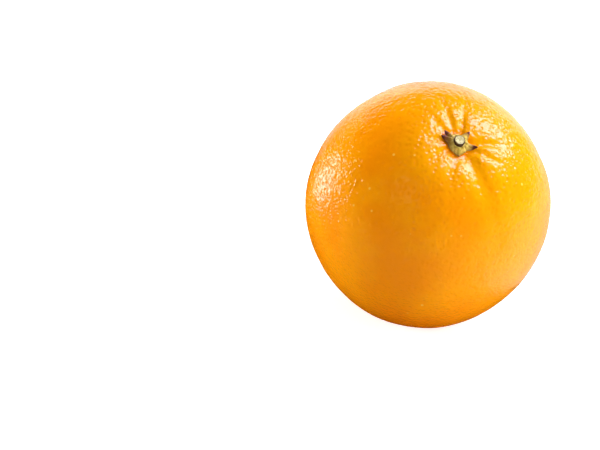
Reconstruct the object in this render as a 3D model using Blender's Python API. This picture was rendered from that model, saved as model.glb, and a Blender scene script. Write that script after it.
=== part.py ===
"""A whole sweet orange: the fruit, the star-shaped calyx and the cut stem end.

The fruit lies on a table at z = 0 with its axis leaning from upright, as a round fruit comes to rest. It is
modelled upright round its own axis, with the stem at the top and the middle of its oval at the origin, and
laid down when it is finished. Lengths are in metres and angles in degrees, anticlockwise from +X.
"""

from math import atan2, cos, exp, hypot, pi, radians, sin, sqrt

import bmesh
import bpy
from mathutils import Matrix, Vector

# The fruit: an oval, a little deeper than wide, with four faint swellings round its sides
WIDTH = 0.0796
DEPTH = 0.0806
OVAL_HEIGHT = 0.0830
SIDE_SWELL = 0.0003
SIDE_SWELLS = 4

# How it lies: how far its axis leans from upright, in which direction, and the spot that it rests on
LEAN = 34
LEAN_TOWARDS = -67
REST_SPOT_RADIUS = 0.0065

# The hollow that the stem stands in, and the small scar that the flower left at the other end
HOLLOW_DEPTH = 0.0024
HOLLOW_RADIUS = 0.0095
SCAR_DEPTH = 0.0006
SCAR_RADIUS = 0.0022

# The furrows that run out of the hollow: direction, depth, length and half width of each
FURROWS = (
    (14, 0.00085, 0.0150, 0.0015),
    (86, 0.00080, 0.0160, 0.0012),
    (113, 0.00075, 0.0160, 0.0012),
    (141, 0.00065, 0.0110, 0.0013),
    (180, 0.00045, 0.0090, 0.0010),
    (226, 0.00060, 0.0100, 0.0013),
    (264, 0.00085, 0.0125, 0.0019),
    (309, 0.00140, 0.0220, 0.0028),
    (346, 0.00070, 0.0140, 0.0013),
)
FURROW_START = 0.0032

# The stem end: a short woody stub, cut off square
STEM_RADIUS = 0.00175
STEM_HEIGHT = 0.0019
STEM_EDGE = 0.00025

# The calyx: a thin disc with a raised collar round the stem, drawn out into unequal points
CALYX_RADIUS = 0.0034
COLLAR_HEIGHT = 0.0015
CALYX_EDGE = 0.0004
# Each point's direction and how far it reaches from the fruit's axis
CALYX_POINTS = (
    (357, 0.0061),
    (56, 0.0053),
    (146, 0.0059),
    (171, 0.0057),
    (280, 0.0044),
)
POINT_HALF_ANGLE = 27
POINT_TAPER = 1.4
POINT_LIFT = 0.0003

# Clearances: the calyx and the stem end over the skin, and the calyx round the stem
SEAT_GAP = 0.0003
STEM_GAP = 0.0004

# How finely the turned shapes are divided
FRUIT_SEGMENTS = 72
UPPER_RINGS = 22
LOWER_RINGS = 16
RING_SPREAD = 1.3
CALYX_SEGMENTS = 90
CALYX_RINGS = 6
STEM_SEGMENTS = 40

PEEL_COLOUR = (0.83, 0.27, 0.008, 1.0)
CALYX_COLOUR = (0.33, 0.29, 0.06, 1.0)
STEM_COLOUR = (0.62, 0.54, 0.32, 1.0)


# The skin: one formula that the fruit follows and that the calyx and the stem end are seated on
def angle_between(a, b):
    """Smallest angle between two directions in degrees."""
    return abs((a - b + 180) % 360 - 180)


def furrow_depth(reach, azimuth):
    """How deep the furrows are at a distance from the axis, in a direction in degrees."""
    depth = 0.0
    start = 1 - exp(-((reach / FURROW_START) ** 2))
    for direction, full_depth, length, half_width in FURROWS:
        apart = angle_between(azimuth, direction)
        if apart < 90:
            aside = reach * sin(radians(apart))
            across = exp(-((aside / half_width) ** 2))
            depth += full_depth * start * across * exp(-((reach / length) ** 3))
    return depth


def skin_point(direction):
    """Point of the skin that belongs to a direction from the oval's middle, given as a unit vector."""
    azimuth = atan2(direction.y, direction.x)
    swell = 1 + SIDE_SWELL / (WIDTH / 2) * cos(SIDE_SWELLS * azimuth) * (1 - direction.z**2)
    x = WIDTH / 2 * swell * direction.x
    y = DEPTH / 2 * swell * direction.y
    z = OVAL_HEIGHT / 2 * direction.z
    reach = hypot(x, y)
    if direction.z > 0:
        z -= HOLLOW_DEPTH * exp(-((reach / HOLLOW_RADIUS) ** 2))
        z -= furrow_depth(reach, azimuth * 180 / pi)
    else:
        z += SCAR_DEPTH * exp(-((reach / SCAR_RADIUS) ** 2))
    return Vector((x, y, z))


def skin_at(reach, azimuth):
    """Point of the upper skin at a distance from the axis, in a direction in radians."""
    x = reach * cos(azimuth) / (WIDTH / 2)
    y = reach * sin(azimuth) / (DEPTH / 2)
    return skin_point(Vector((x, y, sqrt(1 - x**2 - y**2))))


def laying_down():
    """The turn that leans the upright fruit, with the lift that leaves its rest spot at z = 0."""
    towards = radians(LEAN_TOWARDS)
    turn = Matrix.Rotation(radians(LEAN), 4, Vector((-sin(towards), cos(towards), 0)))
    down = turn.transposed() @ Vector((0, 0, -1))
    lowest = Vector((down.x * WIDTH / 2, down.y * DEPTH / 2, down.z * OVAL_HEIGHT / 2)).length
    height = lowest * sqrt(1 - (REST_SPOT_RADIUS / (WIDTH / 2)) ** 2)
    return Matrix.Translation((0, 0, height)) @ turn


# Building
def clear_scene():
    for old in list(bpy.data.objects):
        bpy.data.objects.remove(old, do_unlink=True)


def make_material(name, colour, roughness):
    material = bpy.data.materials.new(name)
    material.use_nodes = True
    principled = material.node_tree.nodes["Principled BSDF"]
    principled.inputs["Base Color"].default_value = colour
    principled.inputs["Roughness"].default_value = roughness
    principled.inputs["Metallic"].default_value = 0.0
    return material


def turn_profile(profile, segments, closed):
    """Spin a profile of (radius, height) points all the way round Z."""
    bm = bmesh.new()
    verts = [bm.verts.new((radius, 0, height)) for radius, height in profile]
    edges = [bm.edges.new(pair) for pair in zip(verts, verts[1:])]
    if closed:
        edges.append(bm.edges.new((verts[-1], verts[0])))
    bmesh.ops.spin(
        bm,
        geom=verts + edges,
        cent=(0, 0, 0),
        axis=(0, 0, 1),
        angle=2 * pi,
        steps=segments,
        use_merge=True,
    )
    bmesh.ops.remove_doubles(bm, verts=bm.verts, dist=1e-7)
    return bm


def cut_rest_spot(bm):
    """Slice off what is below the table and close the cut with one flat face."""
    geom = bm.verts[:] + bm.edges[:] + bm.faces[:]
    cut = bmesh.ops.bisect_plane(
        bm,
        geom=geom,
        dist=1e-6,
        plane_co=(0, 0, 0),
        plane_no=(0, 0, -1),
        clear_outer=True,
    )
    rim = [item for item in cut["geom_cut"] if isinstance(item, bmesh.types.BMEdge)]
    bmesh.ops.edgeloop_fill(bm, edges=rim)


def finish_object(bm, name, material, sharp_angle):
    """Turn the finished bmesh into a named, smoothly shaded object."""
    bmesh.ops.recalc_face_normals(bm, faces=bm.faces)
    mesh = bpy.data.meshes.new(name)
    bm.to_mesh(mesh)
    bm.free()
    mesh.shade_smooth()
    mesh.set_sharp_from_angle(angle=radians(sharp_angle))
    mesh.materials.append(material)
    built = bpy.data.objects.new(name, mesh)
    bpy.context.scene.collection.objects.link(built)
    return built


def fruit_profile():
    """Half circle of radius 1 from the stem to the scar, with closer rings towards both."""
    upper = [pi / 2 * (i / UPPER_RINGS) ** RING_SPREAD for i in range(UPPER_RINGS)]
    lower = [pi - pi / 2 * (i / LOWER_RINGS) ** RING_SPREAD for i in range(LOWER_RINGS, -1, -1)]
    return [(sin(tilt), cos(tilt)) for tilt in upper + lower]


def make_fruit(material):
    """The fruit: a turned oval whose points are moved onto the skin, laid down and cut flat below."""
    bm = turn_profile(fruit_profile(), FRUIT_SEGMENTS, closed=False)
    for vert in bm.verts:
        vert.co = skin_point(vert.co)
    bmesh.ops.transform(bm, matrix=laying_down(), verts=bm.verts)
    cut_rest_spot(bm)
    return finish_object(bm, "fruit", material, sharp_angle=60)


def calyx_reach(azimuth):
    """How far the calyx reaches from the axis in a direction in degrees."""
    reach = CALYX_RADIUS
    for direction, tip in CALYX_POINTS:
        nearness = max(0.0, 1 - angle_between(azimuth, direction) / POINT_HALF_ANGLE)
        reach = max(reach, CALYX_RADIUS + (tip - CALYX_RADIUS) * nearness**POINT_TAPER)
    return reach


def calyx_profile():
    """Section of the calyx: radius 1 to 2 from its hole to its edge, height 0 to 1 from under to top."""
    steps = [i / CALYX_RINGS for i in range(CALYX_RINGS + 1)]
    under = [(1 + step, 0.0) for step in steps]
    top = [(1 + step, 1.0) for step in reversed(steps)]
    return under + top


def make_calyx(material):
    """The calyx: a turned ring, drawn out into points that lie along the skin."""
    bm = turn_profile(calyx_profile(), CALYX_SEGMENTS, closed=True)
    hole = STEM_RADIUS + STEM_GAP
    for vert in bm.verts:
        azimuth = atan2(vert.co.y, vert.co.x)
        share = hypot(vert.co.x, vert.co.y) - 1
        edge = calyx_reach(azimuth * 180 / pi)
        reach = hole + (edge - hole) * share
        height = SEAT_GAP + POINT_LIFT * max(0.0, reach - CALYX_RADIUS) / CALYX_RADIUS
        if vert.co.z > 0.5:
            height += CALYX_EDGE + (COLLAR_HEIGHT - CALYX_EDGE) * (1 - share) ** 2
        vert.co = skin_at(reach, azimuth) + Vector((0, 0, height))
    bmesh.ops.transform(bm, matrix=laying_down(), verts=bm.verts)
    return finish_object(bm, "calyx", material, sharp_angle=50)


def stem_profile():
    """Section of the stem end, from the middle of its underside up to the middle of its cut face."""
    return [
        (0.0, 0.0),
        (STEM_RADIUS / 2, 0.0),
        (STEM_RADIUS, 0.0),
        (STEM_RADIUS, STEM_HEIGHT - STEM_EDGE),
        (STEM_RADIUS - STEM_EDGE, STEM_HEIGHT),
        (0.0, STEM_HEIGHT),
    ]


def make_stem_end(material):
    """The stem end: a turned stub whose underside follows the bottom of the hollow."""
    bm = turn_profile(stem_profile(), STEM_SEGMENTS, closed=False)
    floor = skin_at(0.0, 0.0).z + SEAT_GAP
    for vert in bm.verts:
        if vert.co.z < STEM_EDGE:
            reach = hypot(vert.co.x, vert.co.y)
            vert.co.z = skin_at(reach, atan2(vert.co.y, vert.co.x)).z + SEAT_GAP
        else:
            vert.co.z += floor
    bmesh.ops.transform(bm, matrix=laying_down(), verts=bm.verts)
    return finish_object(bm, "stem_end", material, sharp_angle=30)


clear_scene()
make_fruit(make_material("peel", PEEL_COLOUR, 0.38))
make_calyx(make_material("calyx_green", CALYX_COLOUR, 0.65))
make_stem_end(make_material("stem_wood", STEM_COLOUR, 0.75))
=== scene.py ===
# %% [markdown]
# # A fresh orange, made in Blender one step at a time
#
# A sweet orange is three things that look quite different: a glossy peel full of small pits, a
# dry star-shaped calyx, and the cut end of the stem that the fruit hung from. Each is made here
# as its own piece, over a simple solid model that says how big it is and how it lies.

from math import cos, pi, radians, sin, sqrt

import bmesh
import bpy
import numpy as np
from mathutils import Matrix, Vector


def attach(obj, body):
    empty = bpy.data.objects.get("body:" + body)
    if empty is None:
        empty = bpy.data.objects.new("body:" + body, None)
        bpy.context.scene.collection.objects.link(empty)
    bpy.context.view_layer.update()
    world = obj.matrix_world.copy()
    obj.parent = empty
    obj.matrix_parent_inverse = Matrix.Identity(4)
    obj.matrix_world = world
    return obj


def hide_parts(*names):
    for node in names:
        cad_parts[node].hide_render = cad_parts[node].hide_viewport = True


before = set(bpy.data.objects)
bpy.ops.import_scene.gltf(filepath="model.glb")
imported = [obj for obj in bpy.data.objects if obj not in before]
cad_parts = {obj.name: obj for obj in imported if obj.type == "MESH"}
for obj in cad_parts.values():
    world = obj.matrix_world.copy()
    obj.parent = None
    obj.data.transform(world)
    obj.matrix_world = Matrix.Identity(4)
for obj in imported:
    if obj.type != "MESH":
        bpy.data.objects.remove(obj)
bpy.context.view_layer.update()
print("solid pieces:", sorted(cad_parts))

# %% [markdown]
# ## The shape of the fruit
#
# An orange isn't a ball. It is a little deeper than wide, faintly squared round its sides, and at
# the stem it dips into a hollow from which furrows run out. The calyx and the stem sit in that
# hollow, so one formula gives the skin, and every piece asks it where to sit. The fruit is worked
# out standing upright round its own axis, with the middle of its oval at the origin.

# %% Sizes of the fruit, in metres and degrees
WIDTH = 0.0796
DEPTH = 0.0806
OVAL_HEIGHT = 0.0830
SIDE_SWELL = 0.0003
SIDE_SWELLS = 4
LEAN = 34
LEAN_TOWARDS = -67
REST_SPOT_RADIUS = 0.0065
HOLLOW_DEPTH = 0.0024
HOLLOW_RADIUS = 0.0095
SCAR_DEPTH = 0.0006
SCAR_RADIUS = 0.0022

# Each furrow's direction, depth, length and half width
FURROWS = (
    (14, 0.00085, 0.0150, 0.0015),
    (86, 0.00080, 0.0160, 0.0012),
    (113, 0.00075, 0.0160, 0.0012),
    (141, 0.00065, 0.0110, 0.0013),
    (180, 0.00045, 0.0090, 0.0010),
    (226, 0.00060, 0.0100, 0.0013),
    (264, 0.00085, 0.0125, 0.0019),
    (309, 0.00140, 0.0220, 0.0028),
    (346, 0.00070, 0.0140, 0.0013),
)
FURROW_START = 0.0032


# %% The skin formula
def angle_between(a, b):
    """Smallest angle between directions in degrees."""
    return np.abs((a - b + 180) % 360 - 180)


def furrow_depth(reach, azimuth):
    """How deep the furrows are, at distances from the axis and directions in degrees."""
    depth = np.zeros_like(reach)
    start = 1 - np.exp(-((reach / FURROW_START) ** 2))
    for direction, full_depth, length, half_width in FURROWS:
        apart = angle_between(azimuth, direction)
        aside = reach * np.sin(np.radians(apart))
        across = np.exp(-((aside / half_width) ** 2))
        along = start * np.exp(-((reach / length) ** 3))
        depth += np.where(apart < 90, full_depth * across * along, 0)
    return depth


def skin_points(directions):
    """Points of the skin for directions from the oval's middle, as rows of unit vectors."""
    x, y, z = directions.T
    azimuth = np.arctan2(y, x)
    swell = 1 + SIDE_SWELL / (WIDTH / 2) * np.cos(SIDE_SWELLS * azimuth) * (1 - z**2)
    across = WIDTH / 2 * swell * x
    deep = DEPTH / 2 * swell * y
    height = OVAL_HEIGHT / 2 * z
    reach = np.hypot(across, deep)
    hollow = HOLLOW_DEPTH * np.exp(-((reach / HOLLOW_RADIUS) ** 2))
    upper = hollow + furrow_depth(reach, np.degrees(azimuth))
    scar = SCAR_DEPTH * np.exp(-((reach / SCAR_RADIUS) ** 2))
    height = np.where(z > 0, height - upper, height + scar)
    return np.column_stack((across, deep, height))


def skin_at(reach, azimuth):
    """Points of the upper skin at distances from the axis, in directions in radians."""
    x = reach * np.cos(azimuth) / (WIDTH / 2)
    y = reach * np.sin(azimuth) / (DEPTH / 2)
    return skin_points(np.column_stack((x, y, np.sqrt(1 - x**2 - y**2))))


print("hollow, mm below the top of the oval:", round(1000 * HOLLOW_DEPTH, 2))

# %% [markdown]
# ## Laying the fruit down
#
# A round fruit rarely stands on its blossom end. It rolls until it lies on a small flat spot of
# its side, so the finished shape is leant over and lifted until that spot is on the table.


# %% The turn that lays it down
def laying_down():
    """The turn that leans the upright fruit, with the lift that leaves its rest spot at z = 0."""
    towards = radians(LEAN_TOWARDS)
    turn = Matrix.Rotation(radians(LEAN), 4, Vector((-sin(towards), cos(towards), 0)))
    down = turn.transposed() @ Vector((0, 0, -1))
    lowest = Vector((down.x * WIDTH / 2, down.y * DEPTH / 2, down.z * OVAL_HEIGHT / 2)).length
    height = lowest * sqrt(1 - (REST_SPOT_RADIUS / (WIDTH / 2)) ** 2)
    return Matrix.Translation((0, 0, height)) @ turn


LAID = laying_down()
FRUIT_MIDDLE = LAID.translation.copy()
STEM_FOOT = LAID @ Vector(skin_at(np.zeros(1), np.zeros(1))[0])
BLOSSOM_END = LAID @ Vector((0, 0, SCAR_DEPTH - OVAL_HEIGHT / 2))
print("middle of the fruit, mm:", [round(1000 * x, 1) for x in FRUIT_MIDDLE])
print("foot of the stem, mm:", [round(1000 * x, 1) for x in STEM_FOOT])


# %% Helpers for points in bulk
def get_points(mesh):
    """The places of a mesh's points, as rows."""
    found = np.empty(len(mesh.vertices) * 3, np.float32)
    mesh.vertices.foreach_get("co", found)
    return found.reshape(-1, 3).astype(float)


def set_points(mesh, points):
    """Move a mesh's points to the given rows."""
    mesh.vertices.foreach_set("co", np.asarray(points, np.float32).ravel())
    mesh.update()


def lay_down(points):
    """The same points with the fruit laid down."""
    laid = np.array(LAID)
    return points @ laid[:3, :3].T + laid[:3, 3]


def link_piece(name, mesh):
    """Put a finished mesh in the scene as a piece, smoothly shaded, at the origin."""
    mesh.shade_smooth()
    piece = bpy.data.objects.new(name, mesh)
    bpy.context.scene.collection.objects.link(piece)
    return piece


def bmesh_to_mesh(bm, name):
    """Merge doubles, turn the faces outwards and hand the shape over as a mesh."""
    bmesh.ops.remove_doubles(bm, verts=bm.verts, dist=1e-7)
    bmesh.ops.recalc_face_normals(bm, faces=bm.faces)
    mesh = bpy.data.meshes.new(name)
    bm.to_mesh(mesh)
    bm.free()
    return mesh


# %% [markdown]
# ## The peel
#
# A turned ball crowds its faces together at both poles, just where the stem's furrows need even
# detail. A cube cut into a fine grid and blown up into a ball has faces of nearly one size
# everywhere. Each of its points is then moved onto the skin formula.

# %% Model the peel
PEEL_CUTS = 127


def make_peel_mesh():
    """A finely cut cube, blown up into a ball and moved onto the skin."""
    bm = bmesh.new()
    bmesh.ops.create_cube(bm, size=2)
    bmesh.ops.subdivide_edges(bm, edges=bm.edges[:], cuts=PEEL_CUTS, use_grid_fill=True)
    mesh = bmesh_to_mesh(bm, "peel")
    even = np.tan(get_points(mesh) * pi / 4)
    ball = even / np.linalg.norm(even, axis=1, keepdims=True)
    set_points(mesh, lay_down(skin_points(ball)))
    return mesh


peel = link_piece("peel", make_peel_mesh())
print("peel faces:", len(peel.data.polygons))

# %% [markdown]
# ## Pits and waves in the peel
#
# The peel is full of oil glands. Over each one the skin sinks into a shallow pit, about a
# millimetre and a half from the next. Between them it heaves in soft waves a few millimetres long,
# over low lumps the width of a fingertip. A Voronoi pattern has the same even disorder as the
# glands: its distance to the nearest cell point is turned into a round pit. The pattern is written
# once, as a helper that adds its nodes to any node tree, so the same pits can be pressed into the
# mesh and drawn in the finish.


# %% Helpers that add nodes
def fill_inputs(tree, node, inputs):
    """Give a node's inputs values, or link them to sockets."""
    for key, value in inputs.items():
        if isinstance(value, bpy.types.NodeSocket):
            tree.links.new(value, node.inputs[key])
        else:
            node.inputs[key].default_value = value


def add_node(tree, kind, inputs=None, **settings):
    """Add a node with its settings, and fill its inputs."""
    node = tree.nodes.new(kind)
    for name, value in settings.items():
        setattr(node, name, value)
    fill_inputs(tree, node, inputs or {})
    return node


def add_math(tree, operation, a, b=0.0):
    """The result of one sum on two values."""
    return add_node(tree, "ShaderNodeMath", {0: a, 1: b}, operation=operation).outputs[0]


def add_sum(tree, value, times, more):
    """The value times a number, plus more."""
    inputs = {0: value, 1: times, 2: more}
    return add_node(tree, "ShaderNodeMath", inputs, operation="MULTIPLY_ADD").outputs[0]


def add_fade(tree, value, start, end, low=0.0, high=1.0):
    """Low before start, high after end, with a smooth step between them."""
    limits = {"Value": value, "From Min": start, "From Max": end, "To Min": low, "To Max": high}
    node = add_node(tree, "ShaderNodeMapRange", limits, interpolation_type="SMOOTHSTEP")
    return node.outputs["Result"]


# %% Patterns of the peel
PITS_PER_METRE = 640
SMALL_PITS_PER_METRE = 950
PIT_DISORDER = 0.9
# Where a pit starts to rise and where its rim is, in distances between cells
PIT_MIDDLE = 0.06
PIT_RIM = 0.60


def add_pits(tree, position, per_metre):
    """1 in the middle of each pit, fading to 0 at its rim."""
    inputs = {"Vector": position, "Scale": per_metre, "Randomness": PIT_DISORDER}
    cells = add_node(tree, "ShaderNodeTexVoronoi", inputs, feature="F1")
    return add_fade(tree, cells.outputs["Distance"], PIT_MIDDLE, PIT_RIM, 1.0, 0.0)


def add_noise(tree, position, per_metre, detail=2.0, roughness=0.5):
    """Soft noise round 0.5."""
    inputs = {"Vector": position, "Scale": per_metre, "Detail": detail, "Roughness": roughness}
    return add_node(tree, "ShaderNodeTexNoise", inputs).outputs[0]


# %% Press the pits into the mesh
PIT_DEPTH = 0.00011
WAVES_PER_METRE = 230
WAVE_HEIGHT = 0.00022
LUMPS_PER_METRE = 55
LUMP_HEIGHT = 0.0009


def add_swell(tree, position, per_metre, detail):
    """Soft noise round 0."""
    return add_math(tree, "SUBTRACT", add_noise(tree, position, per_metre, detail), 0.5)


def make_relief_tree():
    """Nodes that move every point along its normal, by pits, waves and lumps."""
    tree = bpy.data.node_groups.new("peel relief", "GeometryNodeTree")
    tree.interface.new_socket("Geometry", in_out="INPUT", socket_type="NodeSocketGeometry")
    tree.interface.new_socket("Geometry", in_out="OUTPUT", socket_type="NodeSocketGeometry")
    start = tree.nodes.new("NodeGroupInput").outputs[0]
    position = tree.nodes.new("GeometryNodeInputPosition").outputs[0]
    normal = tree.nodes.new("GeometryNodeInputNormal").outputs[0]
    pits = add_math(tree, "MULTIPLY", add_pits(tree, position, PITS_PER_METRE), -PIT_DEPTH)
    waves = add_sum(tree, add_swell(tree, position, WAVES_PER_METRE, 2.0), WAVE_HEIGHT, pits)
    height = add_sum(tree, add_swell(tree, position, LUMPS_PER_METRE, 1.0), LUMP_HEIGHT, waves)
    scaled = {0: normal, "Scale": height}
    offset = add_node(tree, "ShaderNodeVectorMath", scaled, operation="SCALE").outputs[0]
    moved = add_node(tree, "GeometryNodeSetPosition", {"Geometry": start, "Offset": offset})
    tree.links.new(moved.outputs[0], tree.nodes.new("NodeGroupOutput").inputs[0])
    return tree


def press_relief(piece):
    """Run the relief on the piece, keep its result as a plain mesh and flatten the rest spot."""
    piece.modifiers.new("relief", "NODES").node_group = make_relief_tree()
    bpy.context.view_layer.update()
    evaluated = piece.evaluated_get(bpy.context.evaluated_depsgraph_get())
    pressed = bpy.data.meshes.new_from_object(evaluated)
    piece.modifiers.clear()
    piece.data = pressed
    points = get_points(pressed)
    points[:, 2] = np.maximum(points[:, 2], 0)
    set_points(pressed, points)
    pressed.shade_smooth()


before = get_points(peel.data)
press_relief(peel)
moved = np.linalg.norm(get_points(peel.data) - before, axis=1)
print("relief, mm, mean and most:", round(1000 * moved.mean(), 3), round(1000 * moved.max(), 3))

# %% [markdown]
# ## The calyx
#
# The calyx is the dried remains of the flower's base: a small olive-green disc with a raised
# collar round the stem, drawn out into unequal points that turn dark and curl as they dry. A
# section spun into a ring gives even faces, and its points are then moved: outwards to the star's
# edge, and up and down for the collar, the ribs and the curled tips.

# %% Sizes of the calyx and the stem end
STEM_RADIUS = 0.00175
STEM_HEIGHT = 0.0019
STEM_EDGE = 0.00025
CALYX_RADIUS = 0.0034
COLLAR_HEIGHT = 0.0015
CALYX_EDGE = 0.0004
CALYX_POINTS = (
    (357, 0.0061),
    (56, 0.0053),
    (146, 0.0059),
    (171, 0.0057),
    (280, 0.0044),
)
POINT_HALF_ANGLE = 27
POINT_TAPER = 1.4
POINT_LIFT = 0.0003
SEAT_GAP = 0.0003
CALYX_SEGMENTS = 240
CALYX_RINGS = 26


# %% Helper that spins a section
def spin_section(section, segments, closed):
    """Spin a section of (radius, height) points all the way round Z."""
    bm = bmesh.new()
    verts = [bm.verts.new((radius, 0, height)) for radius, height in section]
    edges = [bm.edges.new(pair) for pair in zip(verts, verts[1:])]
    if closed:
        edges.append(bm.edges.new((verts[-1], verts[0])))
    bmesh.ops.spin(
        bm,
        geom=verts + edges,
        cent=(0, 0, 0),
        axis=(0, 0, 1),
        angle=2 * pi,
        steps=segments,
        use_merge=True,
    )
    return bm


# %% Sizes of the calyx's fine shape
# How far its hole is drawn in under the bark of the stem end
HUG = 0.0001
CURL_HEIGHT = 0.0009
RAGGED_DEPTH = 0.00008
# The crest ends at this share of the way from the hole to the edge
CREST_SHARE = 0.3
CREST_FALL = 1.6
DIP_DEPTH = 0.00035
FOLD_HEIGHT = 0.00013
FOLDS = 11
# How much of the edge's thickness is left at its very rim
RIM_SHARE = 0.35


# %% Model the calyx
def calyx_edge(azimuth):
    """How far the calyx reaches from the axis, in directions in degrees."""
    edge = np.full_like(azimuth, CALYX_RADIUS)
    for direction, tip in CALYX_POINTS:
        nearness = np.maximum(0, 1 - angle_between(azimuth, direction) / POINT_HALF_ANGLE)
        edge = np.maximum(edge, CALYX_RADIUS + (tip - CALYX_RADIUS) * nearness**POINT_TAPER)
    ragged = np.sin(np.radians(7 * azimuth) + 1) + 0.6 * np.sin(np.radians(17 * azimuth))
    return edge + RAGGED_DEPTH * ragged


def calyx_section():
    """Radius 1 to 2 from the hole to the edge, height 0 under and 1 on top."""
    steps = [i / CALYX_RINGS for i in range(CALYX_RINGS + 1)]
    return [(1 + s, 0.0) for s in steps] + [(1 + s, 1.0) for s in reversed(steps)]


def calyx_top(share, azimuth):
    """How thick the calyx is: a rounded crest round the stem, folds, and a thin edge."""
    rise = 1 - np.clip((share - CREST_SHARE) / (1 - CREST_SHARE), 0, 1)
    crest = (COLLAR_HEIGHT - CALYX_EDGE) * rise**CREST_FALL
    dip = DIP_DEPTH * np.clip(1 - share / CREST_SHARE, 0, 1) ** 2
    folds = np.sin(FOLDS * azimuth + 2 * np.sin(2 * azimuth)) * np.sin(pi * share)
    round_edge = np.sqrt(np.clip(1 - share**6, 0, 1))
    edge = CALYX_EDGE * (RIM_SHARE + (1 - RIM_SHARE) * round_edge)
    return edge + crest - dip + FOLD_HEIGHT * folds


def make_calyx_mesh():
    """A ring, drawn out into a star that lies on the skin round the stem."""
    mesh = bmesh_to_mesh(spin_section(calyx_section(), CALYX_SEGMENTS, closed=True), "calyx")
    x, y, side = get_points(mesh).T
    azimuth = np.arctan2(y, x)
    share = np.hypot(x, y) - 1
    edge = calyx_edge(np.degrees(azimuth))
    hole = STEM_RADIUS - HUG
    reach = hole + (edge - hole) * share
    beyond = np.maximum(0, reach - CALYX_RADIUS) / CALYX_RADIUS
    lift = SEAT_GAP + POINT_LIFT * beyond + CURL_HEIGHT * beyond**2
    points = skin_at(reach, azimuth)
    points[:, 2] += lift + np.where(side > 0.5, calyx_top(share, azimuth), 0)
    set_points(mesh, lay_down(points))
    return mesh


calyx = link_piece("calyx_star", make_calyx_mesh())
print("calyx faces:", len(calyx.data.polygons))

# %% [markdown]
# ## The stem end
#
# What is left of the stem is a short woody stub, cut off square. Its rim is bruised and slightly
# rolled over, and the cut face shows a pale pith with a faint ring of fibres.

# %% Model the stem end
STEM_SEGMENTS = 96
# The bark's waist under the rim: shares of the stem's height, and of its radius there
WAIST = ((0.35, 0.97), (0.6, 0.95))
FACE_RINGS = (0.75, 0.6, 0.45, 0.3, 0.15, 0)
FACE_DIP = 0.00006
WORN_HEIGHT = 0.00005


def stem_section():
    """From the middle of the underside up to the middle of the cut face."""
    top = STEM_HEIGHT
    waist = [(STEM_RADIUS * width, top * height) for height, width in WAIST]
    rim = [
        (STEM_RADIUS, top - STEM_EDGE),
        (STEM_RADIUS - STEM_EDGE * 0.3, top - STEM_EDGE * 0.3),
        (STEM_RADIUS - STEM_EDGE, top),
    ]
    face = [(STEM_RADIUS * part, top - FACE_DIP * (1 - part)) for part in FACE_RINGS]
    under = [(0.0, 0.0), (STEM_RADIUS / 2, 0.0), (STEM_RADIUS, 0.0)]
    return under + waist + rim + face


def make_stem_mesh():
    """A turned stub whose underside follows the bottom of the hollow."""
    mesh = bmesh_to_mesh(spin_section(stem_section(), STEM_SEGMENTS, closed=False), "stem_end")
    points = get_points(mesh)
    x, y, z = points.T
    reach, azimuth = np.hypot(x, y), np.arctan2(y, x)
    floor = skin_at(np.zeros(1), np.zeros(1))[0, 2] + SEAT_GAP
    under = z < STEM_EDGE
    seat = skin_at(reach, azimuth)[:, 2] + SEAT_GAP
    worn = WORN_HEIGHT * np.sin(5 * azimuth + 1) * (reach / STEM_RADIUS) ** 2
    points[:, 2] = np.where(under, seat, z + floor + worn)
    set_points(mesh, lay_down(points))
    return mesh


stem_end = link_piece("stem_stub", make_stem_mesh())
print("stem end faces:", len(stem_end.data.polygons))

# %% [markdown]
# ## Each piece takes the place of its solid
#
# The solids stay hidden for weight and contact, and the pieces made here stand for them.

# %% Tie the pieces to the solids
for piece, solid, finish in (
    (peel, "fruit", "peel"),
    (calyx, "calyx", "calyx"),
    (stem_end, "stem_end", "stem"),
):
    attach(piece, "root")
    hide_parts(solid)

# %% [markdown]
# ## Finishes: shared effects
#
# Nothing that grew is one flat colour. A group that mixes two colours by noise is built once, and
# each finish places it with its own colours and scale. The two dry pieces share a second group, a
# fine grain that gives both a height and a roughness that follows it.


# %% Helpers for finishes
def add_mix(tree, factor, a, b):
    """Mix two colours."""
    return add_node(tree, "ShaderNodeMix", {0: factor, 6: a, 7: b}, data_type="RGBA").outputs[2]


def add_bump(tree, height, distance, strength=1.0):
    """A normal that leans as the height does."""
    inputs = {"Height": height, "Strength": strength, "Distance": distance}
    return add_node(tree, "ShaderNodeBump", inputs).outputs[0]


def distance_from(tree, position, point):
    """Distance of each place from one point, in metres."""
    inputs = {0: position, 1: tuple(point)}
    node = add_node(tree, "ShaderNodeVectorMath", inputs, operation="DISTANCE")
    return node.outputs["Value"]


def add_axis(tree, position, axis):
    """How far each place is along one axis."""
    return add_node(tree, "ShaderNodeSeparateXYZ", {0: position}).outputs[axis]


def add_layers(tree, colour, places, layers):
    """Lay each layer's tint over the colour, as strongly as its fade along its place says."""
    for place, start, end, low, high, tint in layers:
        strength = add_fade(tree, places[place], start, end, low, high)
        colour = add_mix(tree, strength, colour, tint)
    return colour


# %% Helpers for materials
def new_material(name):
    """A material with its tree, its Principled shader and its Object coordinates."""
    material = bpy.data.materials.new(name)
    material.use_nodes = True
    tree = material.node_tree
    position = tree.nodes.new("ShaderNodeTexCoord").outputs["Object"]
    return material, tree, tree.nodes["Principled BSDF"], position


def put_on(piece, material):
    """Give the piece this material alone."""
    piece.data.materials.clear()
    piece.data.materials.append(material)
    print("finish:", material.name)


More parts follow.
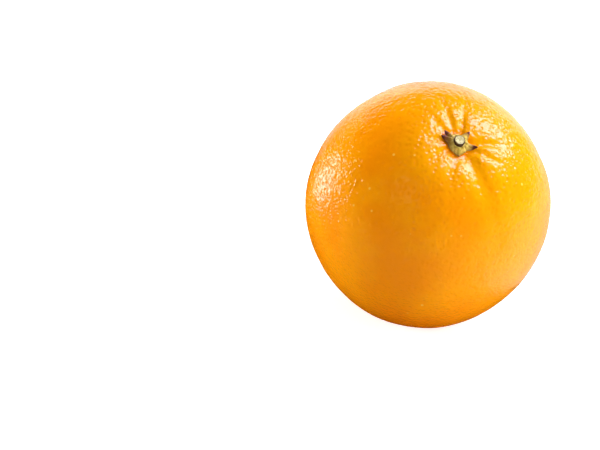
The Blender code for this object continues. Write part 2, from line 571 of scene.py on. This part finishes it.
# %% Node groups
def new_group(name, inputs, outputs):
    """An empty shader group with these sockets, and the sockets that its inputs arrive at."""
    tree = bpy.data.node_groups.new(name, "ShaderNodeTree")
    for socket, kind in inputs:
        tree.interface.new_socket(socket, in_out="INPUT", socket_type="NodeSocket" + kind)
    for socket, kind in outputs:
        tree.interface.new_socket(socket, in_out="OUTPUT", socket_type="NodeSocket" + kind)
    return tree, tree.nodes.new("NodeGroupInput").outputs


PLACE_SOCKETS = (("Vector", "Vector"), ("Per Metre", "Float"))


def make_mottle_group():
    """Two colours mixed by soft noise: where it is under one half A shows, over it B."""
    colours = (("Colour A", "Color"), ("Colour B", "Color"))
    tree, start = new_group("mottled colour", PLACE_SOCKETS + colours, (("Colour", "Color"),))
    noise = add_noise(tree, start["Vector"], start["Per Metre"], detail=3.0)
    share = add_fade(tree, noise, 0.35, 0.65)
    mixed = add_mix(tree, share, start["Colour A"], start["Colour B"])
    fill_inputs(tree, tree.nodes.new("NodeGroupOutput"), {"Colour": mixed})
    return tree


def make_grain_group():
    """Fine grain: its height, and a roughness that goes from smoothest to roughest with it."""
    limits = (("Smoothest", "Float"), ("Roughest", "Float"))
    results = (("Height", "Float"), ("Roughness", "Float"))
    tree, start = new_group("dry grain", PLACE_SOCKETS + limits, results)
    grain = add_noise(tree, start["Vector"], start["Per Metre"], detail=4.0)
    rough = add_fade(tree, grain, 0.3, 0.7, start["Smoothest"], start["Roughest"])
    fill_inputs(tree, tree.nodes.new("NodeGroupOutput"), {"Height": grain, "Roughness": rough})
    return tree


MOTTLE = make_mottle_group()
GRAIN = make_grain_group()
print("node groups:", MOTTLE.name, "and", GRAIN.name)


# %% Place the groups
def add_mottle(tree, position, per_metre, colour_a, colour_b):
    """The mottled colour, at its own scale and between its own two colours."""
    inputs = {
        "Vector": position,
        "Per Metre": per_metre,
        "Colour A": colour_a,
        "Colour B": colour_b,
    }
    return add_node(tree, "ShaderNodeGroup", inputs, node_tree=MOTTLE).outputs["Colour"]


def add_grain(tree, position, per_metre, smoothest, roughest):
    """The dry grain's height and roughness."""
    inputs = {
        "Vector": position,
        "Per Metre": per_metre,
        "Smoothest": smoothest,
        "Roughest": roughest,
    }
    # The group is chosen before its inputs are filled, because they come with it
    placed = add_node(tree, "ShaderNodeGroup", inputs, node_tree=GRAIN)
    return placed.outputs["Height"], placed.outputs["Roughness"]


# %% [markdown]
# ## The peel's finish
#
# The colour is a deep orange that drifts towards gold. Painted light turns it gold on the right
# side, which the lamps light most, and round the stem, and painted shade turns it redder low down.
# Inside the pits it is a touch deeper orange. A painted shadow lies as a ring of deeper red round
# the calyx, a corky brown spot marks where the flower was, and a few pale dots are painted glints.
# The shine comes from a thin coat of wax, so the peel itself has no gloss and the coat has all of
# it. The coat gets a sharper relief than the peel, which breaks each reflection into a net of
# bright threads and leaves the colour under it smooth.

# %% Colours of the peel
DEEP_ORANGE = (0.93, 0.265, 0.0008, 1)
GOLD_ORANGE = (0.95, 0.320, 0.0010, 1)
PIT_ORANGE = (0.93, 0.270, 0.0006, 1)
# Painted light: gold where the peel is lit from the right and round the stem
PAINTED_LIGHT_GOLD = (0.93, 0.385, 0.0010, 1)
# Painted shade: redder low down, where the peel is in shade
PAINTED_SHADE_RED = (1.0, 0.215, 0.0006, 1)
# Painted shadow: deeper red in a ring round the calyx
PAINTED_CALYX_SHADOW = (0.80, 0.130, 0.0010, 1)
CORK = (0.22, 0.095, 0.020, 1)
# Painted glints: a few pale dots
PAINTED_GLINT = (1.0, 0.60, 0.10, 1)
DRIFTS_PER_METRE = 60
PIT_TINT = 0.4

# Layers of tint, the lowest first: what each follows, where its fade starts and ends in metres,
# its strength before and after, and its tint
# The broad layers are painted light and shade: gold on the lit right side and round the stem,
# redder low down
BROAD_LAYERS = (
    ("across", -0.005, 0.035, 0.0, 0.6, PAINTED_LIGHT_GOLD),
    ("from stem", 0.008, 0.026, 0.6, 0.0, PAINTED_LIGHT_GOLD),
    ("up", 0.000, 0.030, 0.7, 0.0, PAINTED_SHADE_RED),
)
# The first close layer is a painted shadow round the calyx; the second is the corky scar at the
# blossom end
CLOSE_LAYERS = (
    ("from stem", 0.0036, 0.0062, 0.45, 0.0, PAINTED_CALYX_SHADOW),
    ("from blossom end", 0.0022, 0.0036, 1.0, 0.0, CORK),
)
# The noise that makes the edge of the corky spot uneven
CORK_NOISE_PER_METRE = 900
CORK_UNEVENNESS = 0.0020

# %% Painted glints
GLINTS_PER_METRE = 240
GLINT_STRENGTH = 0.7
GLINT_MIDDLE = 0.06
GLINT_RIM = 0.14
# A cell shows its painted glint where its own random value is over this
GLINT_CHOICE = 0.64


def add_painted_glints(tree, position):
    """The strength of a few scattered painted glints, 0 elsewhere."""
    inputs = {"Vector": position, "Scale": GLINTS_PER_METRE, "Randomness": 1.0}
    cells = add_node(tree, "ShaderNodeTexVoronoi", inputs, feature="F1").outputs
    dots = add_fade(tree, cells["Distance"], GLINT_MIDDLE, GLINT_RIM, GLINT_STRENGTH, 0.0)
    chosen = add_math(tree, "GREATER_THAN", cells["Color"], GLINT_CHOICE)
    return add_math(tree, "MULTIPLY", dots, chosen)


# %% Colour of the peel
def add_peel_colour(tree, position, pits, from_stem):
    """The drifting orange, with its tints from the broadest to the smallest."""
    uneven = add_noise(tree, position, CORK_NOISE_PER_METRE)
    from_blossom = distance_from(tree, position, BLOSSOM_END)
    places = {
        "across": add_axis(tree, position, "X"),
        "up": add_axis(tree, position, "Z"),
        "from stem": from_stem,
        "from blossom end": add_sum(tree, uneven, CORK_UNEVENNESS, from_blossom),
    }
    colour = add_mottle(tree, position, DRIFTS_PER_METRE, DEEP_ORANGE, GOLD_ORANGE)
    # Painted light and shade: gold on the lit side and round the stem, redder low down
    colour = add_layers(tree, colour, places, BROAD_LAYERS)
    colour = add_mix(tree, add_math(tree, "MULTIPLY", pits, PIT_TINT), colour, PIT_ORANGE)
    # Painted shadow round the calyx, then the corky scar
    colour = add_layers(tree, colour, places, CLOSE_LAYERS)
    # Painted glints as a few pale dots
    return add_mix(tree, add_painted_glints(tree, position), colour, PAINTED_GLINT)


# %% Relief of the peel's finish
# The pits are coarse up to the first distance from the stem, and fine from the second
COARSE_END = 0.016
FINE_START = 0.034
PIT_WEIGHT = -0.8
THREADS_PER_METRE = 650
THREAD_WEIGHT = 1.2
PEEL_RELIEF = 0.00004
COAT_RELIEF = 0.00018


def add_peel_relief(tree, position, pits, from_stem):
    """Height of the finish: coarse pits near the stem, fine ones elsewhere, and soft threads."""
    small = add_pits(tree, position, SMALL_PITS_PER_METRE)
    coarse = add_fade(tree, from_stem, COARSE_END, FINE_START, 1.0, 0.0)
    near = add_math(tree, "MULTIPLY", pits, coarse)
    far = add_math(tree, "MULTIPLY", small, add_math(tree, "SUBTRACT", 1.0, coarse))
    noise = add_noise(tree, position, THREADS_PER_METRE)
    threads = add_math(tree, "MULTIPLY", noise, THREAD_WEIGHT)
    return add_sum(tree, near, PIT_WEIGHT, add_sum(tree, far, PIT_WEIGHT, threads))


# %% Peel finish
SHEEN_PER_METRE = 400
COAT_ROUGHNESS = 0.16


def make_peel_material():
    """Matt orange under a thin coat of wax."""
    material, tree, principled, position = new_material("orange peel")
    pits = add_pits(tree, position, PITS_PER_METRE)
    from_stem = distance_from(tree, position, STEM_FOOT)
    depth = add_peel_relief(tree, position, pits, from_stem)
    sheen = add_noise(tree, position, SHEEN_PER_METRE)
    inputs = {
        "Base Color": add_peel_colour(tree, position, pits, from_stem),
        "Roughness": add_fade(tree, sheen, 0.3, 0.7, 0.35, 0.5),
        "Specular IOR Level": 0.0,
        "Normal": add_bump(tree, depth, PEEL_RELIEF),
        "Coat Weight": 1.0,
        "Coat Roughness": COAT_ROUGHNESS,
        "Coat Normal": add_bump(tree, depth, COAT_RELIEF),
    }
    fill_inputs(tree, principled, inputs)
    return material


put_on(peel, make_peel_material())

# %% [markdown]
# ## The calyx's finish
#
# Olive green and straw in small patches, with painted shade that browns the left side and the rim,
# and nearly black where the points have dried. How far a place is from the stem's foot tells the
# points from the disc, and a little noise keeps that border uneven.

# %% Calyx finish
OLIVE = (0.42, 0.29, 0.035, 1)
STRAW = (0.74, 0.55, 0.12, 1)
# Painted shade: brown on the left side and towards the rim
PAINTED_SHADE_BROWN = (0.20, 0.060, 0.015, 1)
DRIED_TIP = (0.085, 0.020, 0.010, 1)
# The first two layers are painted shade, brown on the left side and towards the rim; the last is
# the dried tips' own colour
CALYX_LAYERS = (
    ("across", STEM_FOOT.x - 0.0046, STEM_FOOT.x - 0.0008, 1.0, 0.0, PAINTED_SHADE_BROWN),
    ("outwards", 0.0036, 0.0048, 0.0, 0.6, PAINTED_SHADE_BROWN),
    ("outwards", 0.0048, 0.0054, 0.0, 1.0, DRIED_TIP),
)
BORDER_NOISE_PER_METRE = 700
BORDER_UNEVENNESS = 0.0012


def make_calyx_material():
    """Dry, grainy and patched, darker outwards."""
    material, tree, principled, position = new_material("dry calyx")
    uneven = add_noise(tree, position, BORDER_NOISE_PER_METRE)
    far = distance_from(tree, position, STEM_FOOT)
    places = {
        "across": add_axis(tree, position, "X"),
        "outwards": add_sum(tree, uneven, BORDER_UNEVENNESS, far),
    }
    colour = add_mottle(tree, position, 900, OLIVE, STRAW)
    height, roughness = add_grain(tree, position, 2500, smoothest=0.5, roughest=0.75)
    inputs = {
        # Painted shade browns the left side and the rim
        "Base Color": add_layers(tree, colour, places, CALYX_LAYERS),
        "Roughness": roughness,
        "Normal": add_bump(tree, height, distance=0.00012, strength=0.6),
    }
    fill_inputs(tree, principled, inputs)
    return material


put_on(calyx, make_calyx_material())

# %% [markdown]
# ## The stem end's finish
#
# The cut face is cream-coloured pith, and the bark round it is dark brown.

# %% Stem end finish
PITH = (0.72, 0.66, 0.40, 1)
PITH_SHADE = (0.45, 0.38, 0.16, 1)
BARK = (0.06, 0.032, 0.012, 1)
FRUIT_AXIS = (LAID.to_3x3() @ Vector((0, 0, 1))).normalized()
CUT_MIDDLE = STEM_FOOT + FRUIT_AXIS * (SEAT_GAP + STEM_HEIGHT)
STEM_LAYERS = (("outwards", 0.00135, 0.00155, 0.0, 1.0, BARK),)


def make_stem_material():
    """Pale pith inside, dark bark outside, grainy all over."""
    material, tree, principled, position = new_material("cut stem")
    places = {"outwards": distance_from(tree, position, CUT_MIDDLE)}
    colour = add_mottle(tree, position, 1500, PITH, PITH_SHADE)
    height, roughness = add_grain(tree, position, 4000, smoothest=0.6, roughest=0.85)
    inputs = {
        "Base Color": add_layers(tree, colour, places, STEM_LAYERS),
        "Roughness": roughness,
        "Normal": add_bump(tree, height, distance=0.0001, strength=0.5),
    }
    fill_inputs(tree, principled, inputs)
    return material


put_on(stem_end, make_stem_material())

# %% [markdown]
# ## The table
#
# A plain white table, rounded to a wide disc, far larger than the view. White paper under strong
# studio light looks pure white, so the table glows, and more with distance, but only for the
# camera: that glow lights nothing and isn't mirrored in the peel.

# %% Floor
FLOOR_RADIUS = 4.0
FLOOR_DROP = 0.00005
TABLE_WHITE = (0.80, 0.80, 0.80, 1)
# The glow goes from the near strength to the far one between these distances from the middle
GLOW_START, GLOW_END = 0.2, 1.2
GLOW_NEAR, GLOW_FAR = 0.7, 1.1


def make_floor():
    """A flat white disc just under z = 0, left out of reflections."""
    bm = bmesh.new()
    bmesh.ops.create_circle(bm, cap_ends=True, segments=96, radius=FLOOR_RADIUS)
    bmesh.ops.translate(bm, vec=(0, 0, -FLOOR_DROP), verts=bm.verts)
    floor = link_piece("floor", bmesh_to_mesh(bm, "floor"))
    material, tree, principled, position = new_material("white table")
    seen = tree.nodes.new("ShaderNodeLightPath").outputs["Is Camera Ray"]
    far = distance_from(tree, position, (0, 0, 0))
    glow = add_fade(tree, far, GLOW_START, GLOW_END, GLOW_NEAR, GLOW_FAR)
    inputs = {
        "Base Color": TABLE_WHITE,
        "Roughness": 0.9,
        "Specular IOR Level": 0.1,
        "Emission Color": (1, 1, 1, 1),
        "Emission Strength": add_math(tree, "MULTIPLY", seen, glow),
    }
    fill_inputs(tree, principled, inputs)
    floor.data.materials.append(material)
    floor.visible_glossy = False
    return floor


floor = make_floor()
print("table radius, m:", FLOOR_RADIUS)

# %% [markdown]
# ## Light
#
# A white studio. The white world is only what the camera sees behind the fruit, and four soft boxes
# do the lighting: a key and a back key that gild the right side, a sky above, and a long low box
# that lights the left rim. The gloss has boxes of its own. A polished peel mirrors whatever is
# bright, so keeping the two kinds apart lets the highlights be placed without changing the colour.
# The boxes that only light the colour aren't mirrored, and the boxes that are mirrored don't light
# it. Some of the mirrored ones lie flat, and stand for the white table that the peel mirrors low
# down.

# %% World and lights
world = bpy.data.worlds.new("studio")
bpy.context.scene.world = world
world.use_nodes = True
world.node_tree.nodes["Background"].inputs["Color"].default_value = (1, 1, 1, 1)
world.node_tree.nodes["Background"].inputs["Strength"].default_value = 1.0
world.cycles_visibility.glossy = False
world.cycles_visibility.diffuse = False


def toward(azimuth, elevation):
    """Direction from the fruit: azimuth 0 is the viewer's side, 90 the right, in degrees."""
    a, e = radians(azimuth), radians(elevation)
    return Vector((sin(a) * cos(e), -cos(a) * cos(e), sin(e)))


WHITE = (1, 1, 1)


def add_soft_box(name, aim, azimuth, elevation, distance, size, radiance, colour=WHITE):
    """A rectangular soft light that faces the point it is aimed at, and isn't seen itself."""
    light = bpy.data.lights.new(name, "AREA")
    light.shape = "RECTANGLE"
    light.size, light.size_y = size
    light.energy = radiance * pi * size[0] * size[1]
    light.color = colour
    box = bpy.data.objects.new(name, light)
    bpy.context.scene.collection.objects.link(box)
    direction = toward(azimuth, elevation)
    box.location = Vector(aim) + direction * distance
    box.rotation_euler = direction.to_track_quat("Z", "Y").to_euler()
    box.visible_camera = False
    return box


print("world:", world.name)

# %% Boxes that light the colour: azimuth, elevation, distance, size and radiance of each
COLOUR_BOXES = (
    ("key", 70, 18, 0.9, (0.6, 0.6), 6.6),
    ("back key", 135, 45, 0.9, (0.7, 0.7), 7.4),
    ("sky", -10, 60, 2.0, (2.4, 2.4), 0.95),
    ("left", -108, 8, 1.2, (1.0, 0.34), 19.5),
)

for name, azimuth, elevation, distance, size, radiance in COLOUR_BOXES:
    box = add_soft_box(name, FRUIT_MIDDLE, azimuth, elevation, distance, size, radiance)
    box.visible_glossy = False
    box.data.cycles.use_multiple_importance_sampling = False
print("boxes that light the colour:", len(COLOUR_BOXES))

# %% Boxes seen in the gloss: aim, azimuth, elevation, distance, size, radiance and tint of each
ROSE = (1, 0.62, 1)
AMBER = (1, 0.75, 0.3)
GLOSS_BOXES = (
    ("window", STEM_FOOT, 120, 48, 0.6, (0.26, 0.46), 10.5, ROSE),
    ("strip", (-0.032, -0.019, 0.056), -117, -2, 0.12, (0.040, 0.055), 7.5, WHITE),
    ("fill", (-0.006, -0.030, 0.060), -27, 34, 0.6, (0.24, 0.13), 2.4, AMBER),
    ("far table", (0.2, 1.3, 0.004), 0, -90, 0.002, (1.0, 1.4), 1.2, WHITE),
    ("mid table", (0.05, 0.39, 0.004), 0, -90, 0.002, (0.4, 0.42), 1.2, WHITE),
    ("near table", (0.145, 0.065, 0.004), 0, -90, 0.002, (0.21, 0.23), 0.7, WHITE),
    ("wall", (-0.1, 2.0, 0.4), 180, 0, 0.0, (2.6, 0.8), 1.5, WHITE),
)

for settings in GLOSS_BOXES:
    add_soft_box(*settings).visible_diffuse = False
print("boxes seen in the gloss:", len(GLOSS_BOXES))

# %% Colours as they are, with no film look
bpy.context.scene.view_settings.view_transform = "Standard"
bpy.context.scene.view_settings.look = "None"

# %% [markdown]
# ## Camera
#
# A long lens from a little above, turned so that the fruit stands right of the middle.

# %% Camera
CAMERA_ELEVATION = 28
CAMERA_DISTANCE = 0.45
CAMERA_TURN = 6.05
CAMERA_TILT = -0.981
LENS = 81.33
SENSOR_WIDTH = 36


def make_camera():
    """A camera on the viewer's side, turned aside and tilted a little."""
    camera = bpy.data.objects.new("camera", bpy.data.cameras.new("camera"))
    bpy.context.scene.collection.objects.link(camera)
    camera.data.lens = LENS
    camera.data.sensor_width = SENSOR_WIDTH
    camera.data.clip_start = 0.005
    camera.location = FRUIT_MIDDLE + toward(0, CAMERA_ELEVATION) * CAMERA_DISTANCE
    ahead = -toward(CAMERA_TURN, CAMERA_ELEVATION - CAMERA_TILT)
    camera.rotation_euler = ahead.to_track_quat("-Z", "Y").to_euler()
    return camera


bpy.context.scene.camera = make_camera()
print("lens, mm:", LENS)
